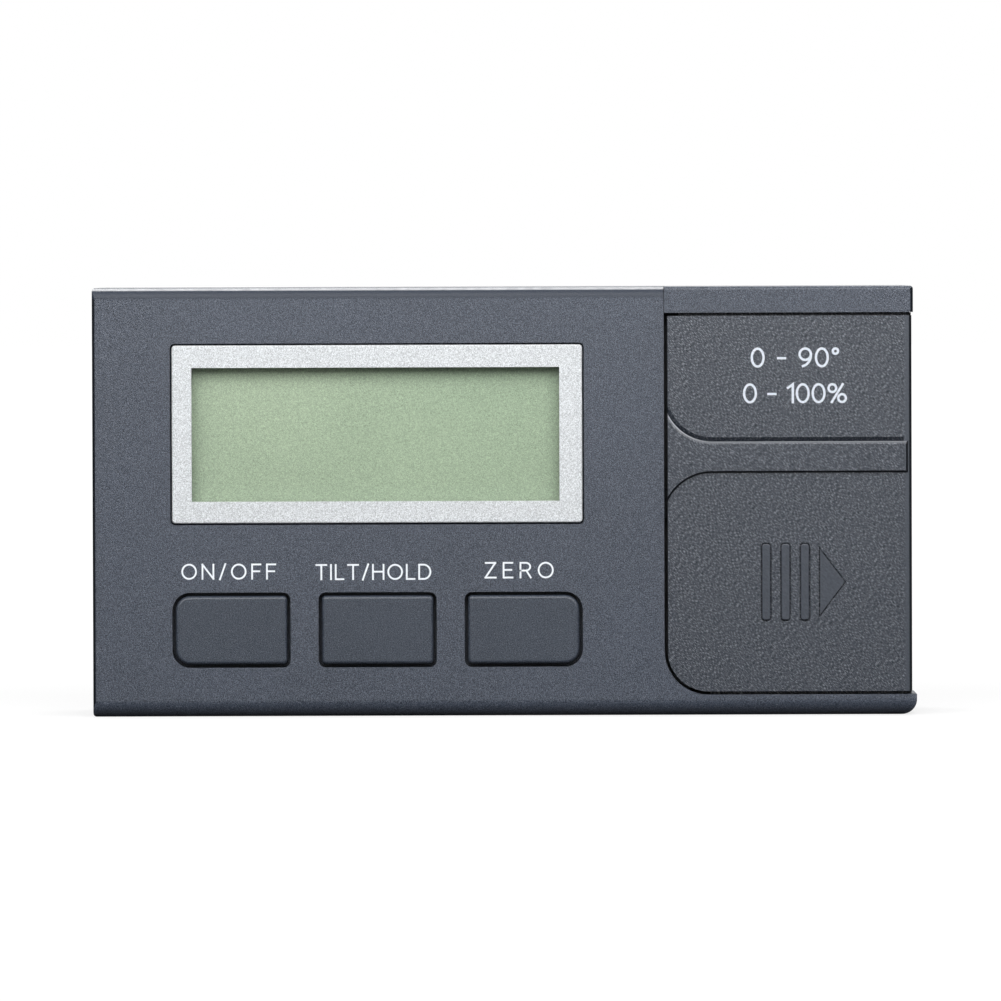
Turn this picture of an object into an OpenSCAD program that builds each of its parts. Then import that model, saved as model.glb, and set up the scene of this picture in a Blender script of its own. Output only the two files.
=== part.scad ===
// Digital angle gauge: a small box level with a display, three keys and a sliding battery cover.
// Millimetres. +X runs to the right along the length, the front faces -Y, +Z is up from the base.

/* [Display] */
// width of the silver display frame
bezel_w = 52.8; // [40:0.1:70]
// height of the silver display frame
bezel_h = 22.9; // [18:0.1:34]
// left border of the display frame
border_left = 2.53; // [1.5:0.01:4]
// right border of the display frame
border_right = 2.94; // [1.5:0.01:4]
// top border of the display frame
border_top = 2.9; // [1.5:0.01:4]
// bottom border of the display frame
border_base = 2.77; // [1.5:0.01:4]
// thickness of the display frame
bezel_t = 1.4; // [1:0.1:2]
// how far the frame's face lies behind the case's face
bezel_sink = 0.1; // [0:0.05:0.4]

/* [Face] */
// face left of the display frame
margin_left = 10.23; // [8:0.01:16]
// face right of the display frame, up to the cover's seam
margin_right = 10.5; // [9:0.1:16]
// face above the display frame
margin_top = 7.41; // [5:0.01:12]
// face between the keys and the display frame, where the key words are
margin_words = 8.9; // [6:0.1:14]
// face below the keys
margin_base = 6.32; // [5:0.01:10]

/* [Keys] */
// width of a key's opening
key_w = 15.2; // [11:0.1:16]
// height of a key's opening
key_h = 9.67; // [8:0.01:14]
// corner radius of the row's outer corners
key_big_r = 2.3; // [1:0.1:4]
// corner radius of the other key corners
key_small_r = 0.95; // [0.9:0.05:1.5]
// how far a key stands out of the face
key_proud = 0.25; // [0:0.05:0.4]
// how far a key can be pressed
key_travel = 0.6; // [0.3:0.05:0.8]

/* [Case] */
// depth of the case from its front face to its back
case_d = 25.5; // [23:0.5:32]
// thickness of the front wall
face_t = 2.4; // [2:0.1:3]
// thickness of the other walls
wall_t = 1.8; // [1.4:0.1:2.2]
// rounding of the top edges
top_round = 1.35; // [0.6:0.05:2]
// rounding of the base edges
base_round = 2.1; // [1:0.05:2.4]
// rounding of the other outer edges
edge_round = 0.45; // [0.3:0.05:0.8]

/* [Battery cover] */
// width of the cover
cover_w = 31.45; // [30:0.05:40]
// thickness of the cover's plate
cover_t = 1.8; // [1.6:0.1:2.2]
// gap round the cover
cover_gap = 0.42; // [0.3:0.01:0.6]
// corner radius of the cover
cover_r = 5.3; // [3:0.1:6]
// radius of the arcs on which the band flares at its left end
flare_r = 6.3; // [4:0.1:8]
// height of the case rail above the cover
rail_top_h = 3.4; // [3:0.1:5]
// height of the case rail below the cover
rail_base_h = 2.65; // [2.5:0.05:4]
// how far the rails' ends stand out past the cover
rail_step = 0.6; // [0.3:0.05:1]
// how far the raised band stands out of the face
band_raise = 0.5; // [0.3:0.05:0.8]
// height of the raised band
band_h = 4.06; // [3:0.01:7]
// how far the grip bars and arrow stand out
grip_raise = 0.15; // [0.1:0.05:0.4]

/* [Cells] */
// diameter of a cell
cell_d = 10.5; // [9:0.1:11]

/* [Clearances] */
// gap between the cover's tongues and their grooves
slide_gap = 0.3; // [0.25:0.05:0.4]
// gap between a key and its opening
key_gap = 0.44; // [0.25:0.01:0.45]
// gap between fixed pieces that fit together
fit_gap = 0.1; // [0.05:0.05:0.2]
// gap round the display frame
bezel_gap = 0.22; // [0.1:0.02:0.4]

/* [Hidden] */
$fn = 48;
eps = 0.01;

// overall sizes follow from the display, keys, margins and cover
case_l = margin_left + bezel_w + margin_right + cover_gap + cover_w + rail_step;
case_h = margin_base + key_h + margin_words + bezel_h + margin_top;
x_left = -case_l / 2;
x_right = case_l / 2;
y_face = band_raise / 2 - case_d / 2;
y_back = y_face + case_d;
front_d = 0.49 * case_d;
y_split = y_face + front_d;

// display
bezel_x0 = x_left + margin_left;
bezel_x1 = bezel_x0 + bezel_w;
bezel_z1 = case_h - margin_top;
bezel_z0 = bezel_z1 - bezel_h;
view_x0 = bezel_x0 + border_left;
view_x1 = bezel_x1 - border_right;
view_z0 = bezel_z0 + border_base;
view_z1 = bezel_z1 - border_top;
pocket_t = bezel_sink + bezel_t;
ledge_gap = 0.9;
lens_t = 0.8;
lens_y = y_face + pocket_t;
lcd_t = 2.2;
lcd_lap = 1.6;
lcd_y = y_face + face_t + 0.15;
board_in = 9;
board_y = y_face + board_in;
board_t = 1.6;
chip_d = 12;
chip_h = 1.8;
sensor_w = 5;
sensor_t = 1.6;
crystal_d = 2;
crystal_l = 6;
crystal_off = 12;
cap_d = 4;
cap_l = 5;
cap_off = 14;
lcd_frame_t = 1;

// keys
key_z0 = margin_base;
key_cz = key_z0 + key_h / 2;
key_pitch = (bezel_w - key_w) / 2;
key_mid_x = (bezel_x0 + bezel_x1) / 2;
key_x = [key_mid_x - key_pitch, key_mid_x, key_mid_x + key_pitch];
key_edge = 0.42;
edge_lap = 0.05;
flange_t = 0.7;
flange_lap = 0.7;
flange_y = y_face + face_t + fit_gap;
stem_d = 4;
switch_w = 6;
switch_t = 2.6;
plunger_d = 3.4;

// cover and rails
seam_x = bezel_x1 + margin_right;
cover_x0 = seam_x + cover_gap;
cover_x1 = cover_x0 + cover_w;
rail_x1 = x_right - rail_step * 2 / 3;
cover_z0 = rail_base_h + cover_gap;
cover_z1 = case_h - rail_top_h - cover_gap;
end_t = 1.6;
end_round = 0.45;
rail_depth = 3.2;
// the tongues and latch stand on the back of the cover's plate, out of sight
tongue_t = 0.7;
tongue_in = 0.2;
tongue_root = 1.2;
tongue_y = y_face + cover_t - tongue_in;
tongue_h = 0.7;
tongue_x0 = cover_x0 + cover_r + 0.2;
band_z0 = cover_z0 + 0.582 * (cover_z1 - cover_z0);
band_z1 = band_z0 + band_h;
// height of the band's eased edge, and the slopes of a wall and its edge
band_edge = 0.14;
band_slope = [85, 22];
band_steep = [68, 50];
band_groove_w = 0.53;
band_groove_d = 0.55;
foot = 0.7;
flare_x = cover_x0 + 0.913 * flare_r;
// how much of the flare's radius its cut uses, and how far the uncut band reaches past its edges
flare_cut_r = 0.85 * flare_r;
flare_h = 0.8 * flare_r;
band_x1 = cover_x1 - end_round - 0.05;
grip_x = cover_x0 + 0.386 * cover_w;
grip_z = cover_z0 + 0.291 * (cover_z1 - cover_z0);
bar_w = 1.08;
bar_r = 0.36;
grip_line = 0.16;
grip_line_d = 0.4;
bar_h = 9.81;
bar_pitch = 2.49;
arrow_w = 3.17;
arrow_h = 8.32;
latch_w = 4;
latch_l = 1.1;
latch_z = (cover_z0 + cover_z1) / 2;

// tray and cells
tray_t = 1;
tray_x0 = seam_x + fit_gap;
tray_x1 = cover_x1 - end_t - 0.4;
tray_y0 = y_face + rail_depth + fit_gap;
cell_y = tray_y0 + 0.5 + cell_d / 2;
tray_y1 = cell_y + cell_d / 2 + 1.6;
tray_z0 = wall_t + fit_gap;
tray_z1 = case_h - wall_t - fit_gap;
contact_t = 0.4;
contact_w = 8;
tail_w = 2.4;
lead_d = 1.2;
lead_in = 18;
spring_l = 3.9;
bay_z0 = tray_z0 + tray_t + contact_t;
bay_z1 = tray_z1 - tray_t - contact_t;
// an AAA cell's 44.5 mm and its spring fill the bay at the sizes above
cell_l = bay_z1 - bay_z0 - spring_l - 0.2;
nub_l = 0.8;
nub_d = 3.8;
cell_cx = (tray_x0 + tray_x1) / 2;
cell_pitch = cell_d + 1.9;
cell_x = [cell_cx - cell_pitch / 2, cell_cx + cell_pitch / 2];

// screws and bosses
boss_d = 5.6;
boss_in = 5.8;
boss_x = [x_left + boss_in, seam_x - boss_in];
boss_z = [boss_in, case_h - boss_in];
screw_d = 2.4;
screw_head_d = 4.2;
screw_head_t = 1.6;
screw_seat_y = y_back - 7.5;
screw_tip_y = y_face + face_t + 2.5;
board_x0 = boss_x[0] + boss_d / 2 + 0.6;
board_x1 = boss_x[1] - boss_d / 2 - 0.6;
board_z0 = 3.2;
board_z1 = case_h - 3.2;
post_d = 3.2;
pin_d = 1.6;
pin_l = 4;
pin_head_d = 3;
pin_head_t = 1.1;
post_in = 2.2;
post_x = [board_x0 + post_in, board_x1 - post_in];
post_z = [key_z0 + key_h + margin_words / 2, board_z1 - post_in];

// magnets in the base
magnet_l = 12;
magnet_w = 5;
magnet_t = 2.2;
magnet_sink = 0.1;
magnet_wall = 0.8;
magnet_y = tray_y1 + fit_gap + magnet_wall + magnet_w / 2;
magnet_x = [-0.34 * case_l, 0, 0.34 * case_l];

grey = [0.36, 0.38, 0.41];
dark_grey = [0.31, 0.33, 0.36];
silver = [0.82, 0.83, 0.84];

// extrude a front-view outline from one depth to a further one
module plate(y0, y1) {
  translate([0, y1, 0])
    rotate([90, 0, 0])
      linear_extrude(y1 - y0)
        children();
}

// extrude a side-view outline along the length
module along_x(x0, x1) {
  translate([x0, 0, 0])
    rotate([90, 0, 90])
      linear_extrude(x1 - x0)
        children();
}

// a round bar along the depth
module rod(x, z, d, y0, y1) {
  translate([x, y0, z])
    rotate([-90, 0, 0])
      cylinder(h = y1 - y0, d = d);
}

// a block between two corners
module block(a, b) {
  translate(a)
    cube(b - a);
}

module corner_cut(x, y, r, turn) {
  if (r > 0)
    translate([x, y])
      rotate(turn)
        difference() {
          translate([-r, -r])
            square(2 * r);
          translate([r, r])
            circle(r);
        }
}

// a rectangle with four corner radii, from bottom left anticlockwise
module corner_rect(x0, y0, x1, y1, r) {
  difference() {
    translate([x0, y0])
      square([x1 - x0, y1 - y0]);
    corner_cut(x0, y0, r[0], 0);
    corner_cut(x1, y0, r[1], 90);
    corner_cut(x1, y1, r[2], 180);
    corner_cut(x0, y1, r[3], 270);
  }
}

// section of a plate's edge, rounded at its top outer side and lapped into the plate
module edge_section(t, e, lap) {
  square([e, t - e]);
  translate([-lap, 0])
    square([lap, t]);
  translate([0, t - e])
    intersection() {
      circle(e);
      square(e);
    }
}

// a straight edge from one point to the next, with the plate on its left
module edge_run(a, b, t, e) {
  d = b - a;
  translate([a[0], a[1], 0])
    rotate(atan2(d[1], d[0]))
      translate([0, e, 0])
        rotate([90, 0, 90])
          linear_extrude(norm(d))
            mirror([1, 0])
              edge_section(t, e, edge_lap);
}

// an edge round a convex corner
module edge_corner(x, y, r, start, t, e) {
  translate([x, y, 0])
    rotate(start)
      rotate_extrude(angle = 90)
        translate([r - e, 0])
          edge_section(t, e, min(edge_lap, r - e));
}

// a plate with a rounded top edge all round
module soft_slab(x0, y0, x1, y1, t, r, e) {
  linear_extrude(t)
    corner_rect(x0 + e, y0 + e, x1 - e, y1 - e, [for (v = r) max(v - e, 0)]);
  edge_run([x0 + r[0], y0], [x1 - r[1], y0], t, e);
  edge_run([x1, y0 + r[1]], [x1, y1 - r[2]], t, e);
  edge_run([x1 - r[2], y1], [x0 + r[3], y1], t, e);
  edge_run([x0, y1 - r[3]], [x0, y0 + r[0]], t, e);
  edge_corner(x0 + r[0], y0 + r[0], r[0], 180, t, e);
  edge_corner(x1 - r[1], y0 + r[1], r[1], 270, t, e);
  edge_corner(x1 - r[2], y1 - r[2], r[2], 0, t, e);
  edge_corner(x0 + r[3], y1 - r[3], r[3], 90, t, e);
}

// corner radii of each key, with the big ones at the row's ends
function key_radii(i, less) =
  [for (big = [i == 0, i == 2, i == 2, i == 0]) max((big ? key_big_r : key_small_r) - less, key_edge)];

// side view of the whole case
module case_section() {
  corner_rect(y_face, 0, y_back, case_h, [base_round, base_round, top_round, top_round]);
}

// the opening that the cover fills, running out past the right end
module cover_space(grow) {
  corner_rect(
    seam_x - grow, rail_base_h - grow, x_right + cover_w, case_h + cover_w, [cover_r + cover_gap + grow, 0, 0, 0]
  );
}

// the case's plan, with small roundings at its left end
module case_plan() {
  corner_rect(x_left, y_face, x_right, y_back, [edge_round, 0, 0, edge_round]);
}

module front_shell() {
  color(grey)
    difference() {
      union() {
        difference() {
          intersection() {
            along_x(x_left, x_right)
              case_section();
            plate(y_face, y_split)
              corner_rect(
                x_left, 0, x_right, case_h, [edge_round, base_round * 0.95, 0, edge_round]
              );
            linear_extrude(case_h)
              case_plan();
          }
          // the cover's opening and the rail over it belong to other pieces
          plate(y_face - 1, y_split + 1)
            cover_space(0);
          // room for the works
          block(
            [x_left + wall_t, y_face + face_t, wall_t],
            [seam_x - wall_t, y_split + 1, case_h - wall_t]
          );
          // room for the tray behind the rail
          block(
            [seam_x, y_face + rail_depth, wall_t],
            [cover_x1 - end_t - 0.3, y_split + 1, case_h]
          );
        }
        // bosses for the case screws
        for (x = boss_x)
          for (z = boss_z)
            rod(x, z, boss_d, y_face + face_t - eps, y_split);
        // posts that carry the board
        for (x = post_x)
          for (z = post_z)
            rod(x, z, post_d, y_face + face_t - eps, board_y);
      }
      // display pocket and the opening behind it
      plate(y_face - 1, y_face + pocket_t)
        corner_rect(
          bezel_x0 - bezel_gap, bezel_z0 - bezel_gap, bezel_x1 + bezel_gap, bezel_z1 + bezel_gap,
          [0.6, 0.6, 0.6, 0.6]
        );
      plate(y_face, y_face + face_t + 1)
        translate([view_x0 - ledge_gap, view_z0 - ledge_gap])
          square([view_x1 - view_x0 + 2 * ledge_gap, view_z1 - view_z0 + 2 * ledge_gap]);
      // key openings
      for (i = [0:2])
        plate(y_face - 1, y_face + face_t + 1)
          corner_rect(
            key_x[i] - key_w / 2, key_z0, key_x[i] + key_w / 2, key_z0 + key_h, key_radii(i, 0)
          );
      // groove for the cover's lower tongue
      block(
        [tongue_x0 - 1, tongue_y - slide_gap, rail_base_h - tongue_h + cover_gap - slide_gap],
        [x_right + 1, tongue_y + tongue_t + slide_gap, rail_base_h + 1]
      );
      // slot for the cover's latch
      block(
        [seam_x - wall_t - 1, tongue_y - slide_gap, latch_z - latch_w / 2 - slide_gap],
        [seam_x + 1, tongue_y + tongue_t + slide_gap, latch_z + latch_w / 2 + slide_gap]
      );
      // pilot holes
      for (x = boss_x)
        for (z = boss_z)
          rod(x, z, screw_d + 0.04, screw_tip_y - 0.5, y_split + 1);
      for (x = post_x)
        for (z = post_z)
          rod(x, z, pin_d + 0.04, board_y - pin_l - 0.5, board_y + 1);
    }
}

// a bar magnet's place in the base, grown all round
module magnet_block(x, grow, z0, z1) {
  block(
    [x - magnet_l / 2 - grow, magnet_y - magnet_w / 2 - grow, z0],
    [x + magnet_l / 2 + grow, magnet_y + magnet_w / 2 + grow, z1]
  );
}

module rear_shell() {
  lip_t = 0.9;
  lip_h = 1.3;
  color(grey)
    difference() {
      union() {
        difference() {
          intersection() {
            along_x(x_left, rail_x1)
              case_section();
            plate(y_split, y_back)
              corner_rect(
                x_left, 0, rail_x1, case_h, [edge_round, base_round, edge_round, edge_round]
              );
            linear_extrude(case_h)
              corner_rect(
                x_left, y_face, rail_x1, y_back, [edge_round, 0, edge_round, edge_round]
              );
          }
          block(
            [x_left + wall_t, y_split - 1, wall_t],
            [rail_x1 - wall_t, y_back - wall_t, case_h - wall_t]
          );
        }
        // the rail over the cover
        difference() {
          intersection() {
            along_x(seam_x + 0.06, rail_x1)
              corner_rect(
                y_face, case_h - rail_top_h, y_split, case_h, [0, 0, 0, edge_round]
              );
            plate(y_face, y_split)
              corner_rect(
                seam_x, case_h - rail_top_h, rail_x1, case_h, [0, 0, edge_round, 0]
              );
            linear_extrude(case_h)
              corner_rect(seam_x, y_face, rail_x1, y_split, [0, edge_round, 0, 0]);
          }
          block(
            [seam_x - 1, y_face + rail_depth, case_h - rail_top_h - 1],
            [cover_x1 - end_t - 0.3, y_split + 1, case_h - wall_t]
          );
        }
        // lip that lines up the two halves
        difference() {
          block(
            [x_left + wall_t + fit_gap, y_split - lip_h, wall_t + fit_gap],
            [seam_x - wall_t - fit_gap, y_split + lip_h, case_h - wall_t - fit_gap]
          );
          block(
            [x_left + wall_t + fit_gap + lip_t, y_split - 5, wall_t + fit_gap + lip_t],
            [seam_x, y_split + 5, case_h - wall_t - fit_gap - lip_t]
          );
          block(
            [x_left, y_split, 0],
            [seam_x, y_split + 5, case_h]
          );
        }
        // feet of the lip on the shell's walls
        for (z = [wall_t - eps, case_h - wall_t - fit_gap - lip_t])
          block(
            [x_left + wall_t + fit_gap, y_split, z],
            [seam_x - wall_t - fit_gap, y_split + 2, z + lip_t + fit_gap + eps]
          );
        block(
          [x_left + wall_t - eps, y_split, wall_t - eps],
          [x_left + wall_t + fit_gap + lip_t, y_split + 2, case_h - wall_t + eps]
        );
        // bosses for the case screws
        for (x = boss_x)
          for (z = boss_z)
            rod(x, z, screw_head_d + 2.4, y_split, y_back - wall_t + eps);
        // cups that hold the magnets
        for (x = magnet_x)
          magnet_block(x, magnet_wall, wall_t - eps, magnet_sink + magnet_t + magnet_wall);
      }
      for (x = magnet_x)
        magnet_block(x, fit_gap / 2, -1, magnet_sink + magnet_t);
      // screw holes with deep seats for the heads
      for (x = boss_x)
        for (z = boss_z) {
          rod(x, z, screw_d + 0.5, y_split - 1, y_back);
          rod(x, z, screw_head_d + 0.4, screw_seat_y, y_back + 1);
        }
      // groove for the cover's upper tongue
      block(
        [seam_x + 1.2, tongue_y - slide_gap, case_h - rail_top_h - 1],
        [x_right + 1, tongue_y + tongue_t + slide_gap, case_h - rail_top_h + tongue_h - cover_gap + slide_gap]
      );
    }
}

// the cover's front outline
module cover_outline() {
  corner_rect(cover_x0, cover_z0, cover_x1, cover_z1, [cover_r, 0, 0, 0]);
}

// section of what is cut away beside the band, out to a distance from its foot
module band_cut_section(reach, slope) {
  h = band_raise;
  wall_x = (h - band_edge) / tan(slope[0]);
  edge_x = wall_x + band_edge / tan(slope[1]);
  polygon([
    [0, -foot - 1],
    [reach, -foot - 1],
    [reach, h + 1],
    [-edge_x, h + 1],
    [-edge_x, h],
    [-wall_x, h - band_edge],
    [0, 0]
  ]);
}

// the round part of the cut, which leaves the flare and meets the straight part face to face
module flare_cut(z, slope, up) {
  turn = 100;
  translate([flare_x, z + (up ? flare_r : -flare_r), 0])
    mirror([0, up ? 0 : 1, 0])
      mirror([1, 0, 0])
        rotate(-90)
          rotate_extrude(angle = turn)
            translate([flare_r, 0])
              mirror([1, 0])
                band_cut_section(flare_cut_r, slope);
}

// the straight part of the cut, above or below the band
module band_cut(z, slope, up) {
  translate([flare_x, z, 0])
    rotate([90, 0, 90])
      linear_extrude(cover_w)
        mirror([up ? 0 : 1, 0])
          band_cut_section(flare_r + 1, slope);
}

// the raised band, drawn flat, with its foot let into the plate
module cover_band() {
  difference() {
    difference() {
      block(
        [cover_x0, band_z0 - flare_h, -foot],
        [band_x1, band_z1 + flare_h, band_raise]
      );
      flare_cut(band_z1, band_slope, true);
      flare_cut(band_z0, band_steep, false);
    }
    band_cut(band_z1, band_slope, true);
    band_cut(band_z0, band_steep, false);
    translate([band_x1, band_z0 - flare_r, 0])
      rotate([90, 0, 180])
        linear_extrude(2 * flare_r + band_h)
          mirror([1, 0])
            band_cut_section(1, band_steep);
  }
}

// section of the groove above the band, sloping up and away from it
module groove_section() {
  under = 0.1;
  over = 0.1;
  slope = band_groove_d / band_groove_w;
  polygon([
    [-under, -band_groove_d - slope * under],
    [band_groove_w + over / slope, over],
    [-under, over]
  ]);
}

// the groove above the band and round its upper flare, drawn flat
module band_groove() {
  past_end = 5;
  turn = asin((flare_x - cover_x0) / flare_r) + past_end;
  translate([flare_x, band_z1, 0])
    rotate([90, 0, 90])
      linear_extrude(band_x1 - flare_x - band_groove_w)
        groove_section();
  translate([flare_x, band_z1 + flare_r, 0])
    mirror([1, 0, 0])
      rotate(-90)
        rotate_extrude(angle = turn)
          translate([flare_r, 0])
            mirror([1, 0])
              groove_section();
}

// outline of a grip bar, grown by a distance
module bar_outline(x, grow) {
  r = bar_r + grow;
  corner_rect(
    x - grow, grip_z - bar_h / 2 - grow, x + bar_w + grow, grip_z + bar_h / 2 + grow, [r, r, r, r]
  );
}

// outline of the grip arrow, grown by a distance
module arrow_outline(x, grow) {
  lean = atan2(arrow_h / 2, arrow_w);
  tip = arrow_w + grow / sin(lean);
  half = (tip + grow) * tan(lean);
  translate([x, grip_z])
    polygon([[-grow, -half], [tip, 0], [-grow, half]]);
}

// the sunk lines round the grips, before the grips are set in them
module grip_lines() {
  translate([0, 0, -grip_line_d])
    linear_extrude(grip_line_d + 1) {
      for (i = [0:2])
        bar_outline(grip_x + i * bar_pitch, grip_line);
      arrow_outline(grip_x + 3 * bar_pitch, grip_line);
    }
}

// the grip bars and arrow, drawn flat, with their feet let into the plate
module grips() {
  translate([0, 0, -foot]) {
    for (i = [0:2])
      soft_slab(
        grip_x + i * bar_pitch, grip_z - bar_h / 2, grip_x + i * bar_pitch + bar_w, grip_z + bar_h / 2,
        foot + grip_raise, [bar_r, bar_r, bar_r, bar_r], min(grip_raise, bar_r) - 0.02
      );
    linear_extrude(foot + grip_raise)
      arrow_outline(grip_x + 3 * bar_pitch, 0);
  }
}

module battery_cover() {
  color(dark_grey) {
    difference() {
      intersection() {
        // the cover's plan: a plate with the case's end wall on it
        linear_extrude(case_h)
          difference() {
            corner_rect(cover_x0, y_face, cover_x1, y_split - slide_gap, [0, end_round, 0, 0]);
            translate([cover_x0 - 1, y_face + cover_t])
              square([cover_w + 1 - end_t, front_d]);
          }
        plate(y_face - 1, y_split + 1)
          cover_outline();
      }
      translate([0, y_face, 0])
        rotate([90, 0, 0]) {
          band_groove();
          grip_lines();
        }
    }
    // tongues that run in the rails
    block(
      [tongue_x0, tongue_y, cover_z0 - tongue_h],
      [cover_x1 - 0.6, tongue_y + tongue_t, cover_z0 + tongue_root]
    );
    block(
      [cover_x0 + 1.5, tongue_y, cover_z1 - tongue_root],
      [cover_x1 - 0.6, tongue_y + tongue_t, cover_z1 + tongue_h]
    );
    // latch at the seam
    block(
      [cover_x0 - cover_gap - latch_l, tongue_y, latch_z - latch_w / 2],
      [cover_x0 + tongue_root, tongue_y + tongue_t, latch_z + latch_w / 2]
    );
    translate([0, y_face, 0])
      rotate([90, 0, 0]) {
        cover_band();
        grips();
      }
  }
}

module display_bezel() {
  color(silver)
    translate([0, y_face + pocket_t, 0])
      rotate([90, 0, 0])
        difference() {
          soft_slab(bezel_x0, bezel_z0, bezel_x1, bezel_z1, bezel_t, [0.45, 0.45, 0.45, 0.45], 0.2);
          translate([0, 0, -1])
            linear_extrude(bezel_t + 2)
              translate([view_x0, view_z0])
                square([view_x1 - view_x0, view_z1 - view_z0]);
        }
}

module display_window() {
  color([0.85, 0.9, 0.9, 0.3])
    plate(lens_y + 0.02, lens_y + lens_t)
      translate([view_x0 - ledge_gap + fit_gap, view_z0 - ledge_gap + fit_gap])
        square([
          view_x1 - view_x0 + 2 * (ledge_gap - fit_gap),
          view_z1 - view_z0 + 2 * (ledge_gap - fit_gap)
        ]);
}

module lcd_panel() {
  color([0.6, 0.68, 0.58])
    difference() {
      plate(lcd_y, lcd_y + lcd_t)
        translate([view_x0 - lcd_lap, view_z0 - lcd_lap])
          square([view_x1 - view_x0 + 2 * lcd_lap, view_z1 - view_z0 + 2 * lcd_lap]);
      // the rear glass stops short of the contact ledge
      block(
        [view_x0 - lcd_lap - 1, lcd_y + lcd_t / 2, view_z0 - lcd_lap - 1],
        [view_x1 + lcd_lap + 1, lcd_y + lcd_t + 1, view_z0 - 0.2]
      );
    }
}

module lcd_frame() {
  g = fit_gap;
  f = fit_gap + lcd_frame_t;
  color([0.8, 0.8, 0.78])
    difference() {
      block(
        [view_x0 - lcd_lap - f, lcd_y + 0.2, view_z0 - lcd_lap - f],
        [view_x1 + lcd_lap + f, board_y, view_z1 + lcd_lap + f]
      );
      block(
        [view_x0 - lcd_lap - g, lcd_y - 1, view_z0 - lcd_lap - g],
        [view_x1 + lcd_lap + g, lcd_y + lcd_t + g, view_z1 + lcd_lap + g]
      );
      block(
        [view_x0, lcd_y, view_z0 - lcd_lap],
        [view_x1, board_y + 1, view_z1]
      );
    }
}

module zebra_strips() {
  color([0.2, 0.2, 0.22])
    block(
      [view_x0 + 1, lcd_y + lcd_t / 2 + 0.02, view_z0 - lcd_lap + 0.15],
      [view_x1 - 1, board_y - 0.02, view_z0 - 0.35]
    );
}

module circuit_board() {
  color([0.1, 0.36, 0.2])
    difference() {
      block([board_x0, board_y, board_z0], [board_x1, board_y + board_t, board_z1]);
      for (x = post_x)
        for (z = post_z)
          rod(x, z, pin_d + 0.4, board_y - 1, board_y + board_t + 1);
    }
}

module controller_chip() {
  d = chip_d;
  h = chip_h;
  r = (d * d / 4 + h * h) / (2 * h);
  color([0.08, 0.08, 0.08])
    translate([key_mid_x, board_y + board_t, case_h * 0.62])
      rotate([-90, 0, 0])
        intersection() {
          translate([0, 0, h - r])
            sphere(r, $fn = 96);
          cylinder(h = h + 1, d = d + 2);
        }
}

module tilt_sensor() {
  color([0.12, 0.12, 0.13])
    translate([key_mid_x - sensor_w / 2, board_y + board_t, case_h * 0.3])
      cube([sensor_w, sensor_t, sensor_w]);
}

module crystal_can() {
  color([0.75, 0.76, 0.78])
    translate([key_mid_x + crystal_off, board_y + board_t + crystal_d / 2 + fit_gap / 2, case_h * 0.55])
      cylinder(h = crystal_l, d = crystal_d);
}

module capacitors() {
  color([0.15, 0.17, 0.3])
    for (x = [-cap_off, cap_off])
      rod(key_mid_x + x, case_h * 0.34, cap_d, board_y + board_t, board_y + board_t + cap_l);
}

// a key cap, its retaining flange and its stem
module key_cap(i) {
  x0 = key_x[i] - key_w / 2 + key_gap;
  x1 = key_x[i] + key_w / 2 - key_gap;
  z0 = key_z0 + key_gap;
  z1 = key_z0 + key_h - key_gap;
  color(dark_grey) {
    translate([0, flange_y, 0])
      rotate([90, 0, 0])
        soft_slab(x0, z0, x1, z1, flange_y - y_face + key_proud, key_radii(i, key_gap), key_edge);
    block(
      [x0 - flange_lap - key_gap, flange_y, z0 - flange_lap - key_gap],
      [x1 + flange_lap + key_gap, flange_y + flange_t, z1 + flange_lap + key_gap]
    );
    rod(key_x[i], key_cz, stem_d, flange_y + flange_t - eps, board_y - switch_t - 1.2);
  }
}

module key_power() {
  key_cap(0);
}

module key_hold() {
  key_cap(1);
}

module key_zero() {
  key_cap(2);
}

// the moving button of a push switch
module plunger(i) {
  color([0.1, 0.1, 0.1])
    rod(key_x[i], key_cz, plunger_d, board_y - switch_t - 1.2, board_y - 1.2);
}

module plunger_power() {
  plunger(0);
}

module plunger_hold() {
  plunger(1);
}

module plunger_zero() {
  plunger(2);
}

module switch_housings() {
  color([0.55, 0.56, 0.58])
    for (x = key_x)
      difference() {
        block(
          [x - switch_w / 2, board_y - switch_t, key_cz - switch_w / 2],
          [x + switch_w / 2, board_y, key_cz + switch_w / 2]
        );
        rod(x, key_cz, plunger_d + 2 * slide_gap, board_y - switch_t - 1, board_y - 0.3);
      }
}

module battery_tray() {
  color([0.2, 0.21, 0.23])
    difference() {
      block([tray_x0, tray_y0, tray_z0], [tray_x1, tray_y1, tray_z1]);
      // two troughs that the cells lie in
      for (x = cell_x) {
        translate([x, cell_y, tray_z0 + tray_t])
          cylinder(h = tray_z1 - tray_z0 - 2 * tray_t, d = cell_d + 0.6);
        block(
          [x - cell_d / 2 - 0.3, tray_y0 - 1, tray_z0 + tray_t],
          [x + cell_d / 2 + 0.3, cell_y, tray_z1 - tray_t]
        );
      }
      // the middle of the rib between the cells is cut away
      block(
        [cell_x[0], tray_y0 - 1, case_h * 0.3],
        [cell_x[1], cell_y - 1, case_h * 0.7]
      );
      // openings that let the contacts' tails out at the back
      for (x = cell_x)
        for (z = [tray_z0 + tray_t, tray_z1 - tray_t - 2])
          block(
            [x - tail_w / 2 - slide_gap, cell_y, z],
            [x + tail_w / 2 + slide_gap, tray_y1 + 1, z + 2]
          );
    }
}

// one cell with its raised end up
module cell_shape() {
  d = cell_d;
  rotate_extrude()
    union() {
      square([d / 2, cell_l - nub_l - 0.5]);
      square([d / 2 - 0.6, cell_l - nub_l]);
      square([nub_d / 2, cell_l]);
    }
}

module cell_left() {
  color([0.2, 0.2, 0.22])
    translate([cell_x[0], cell_y, bay_z0 + spring_l + 0.1])
      cell_shape();
}

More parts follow.
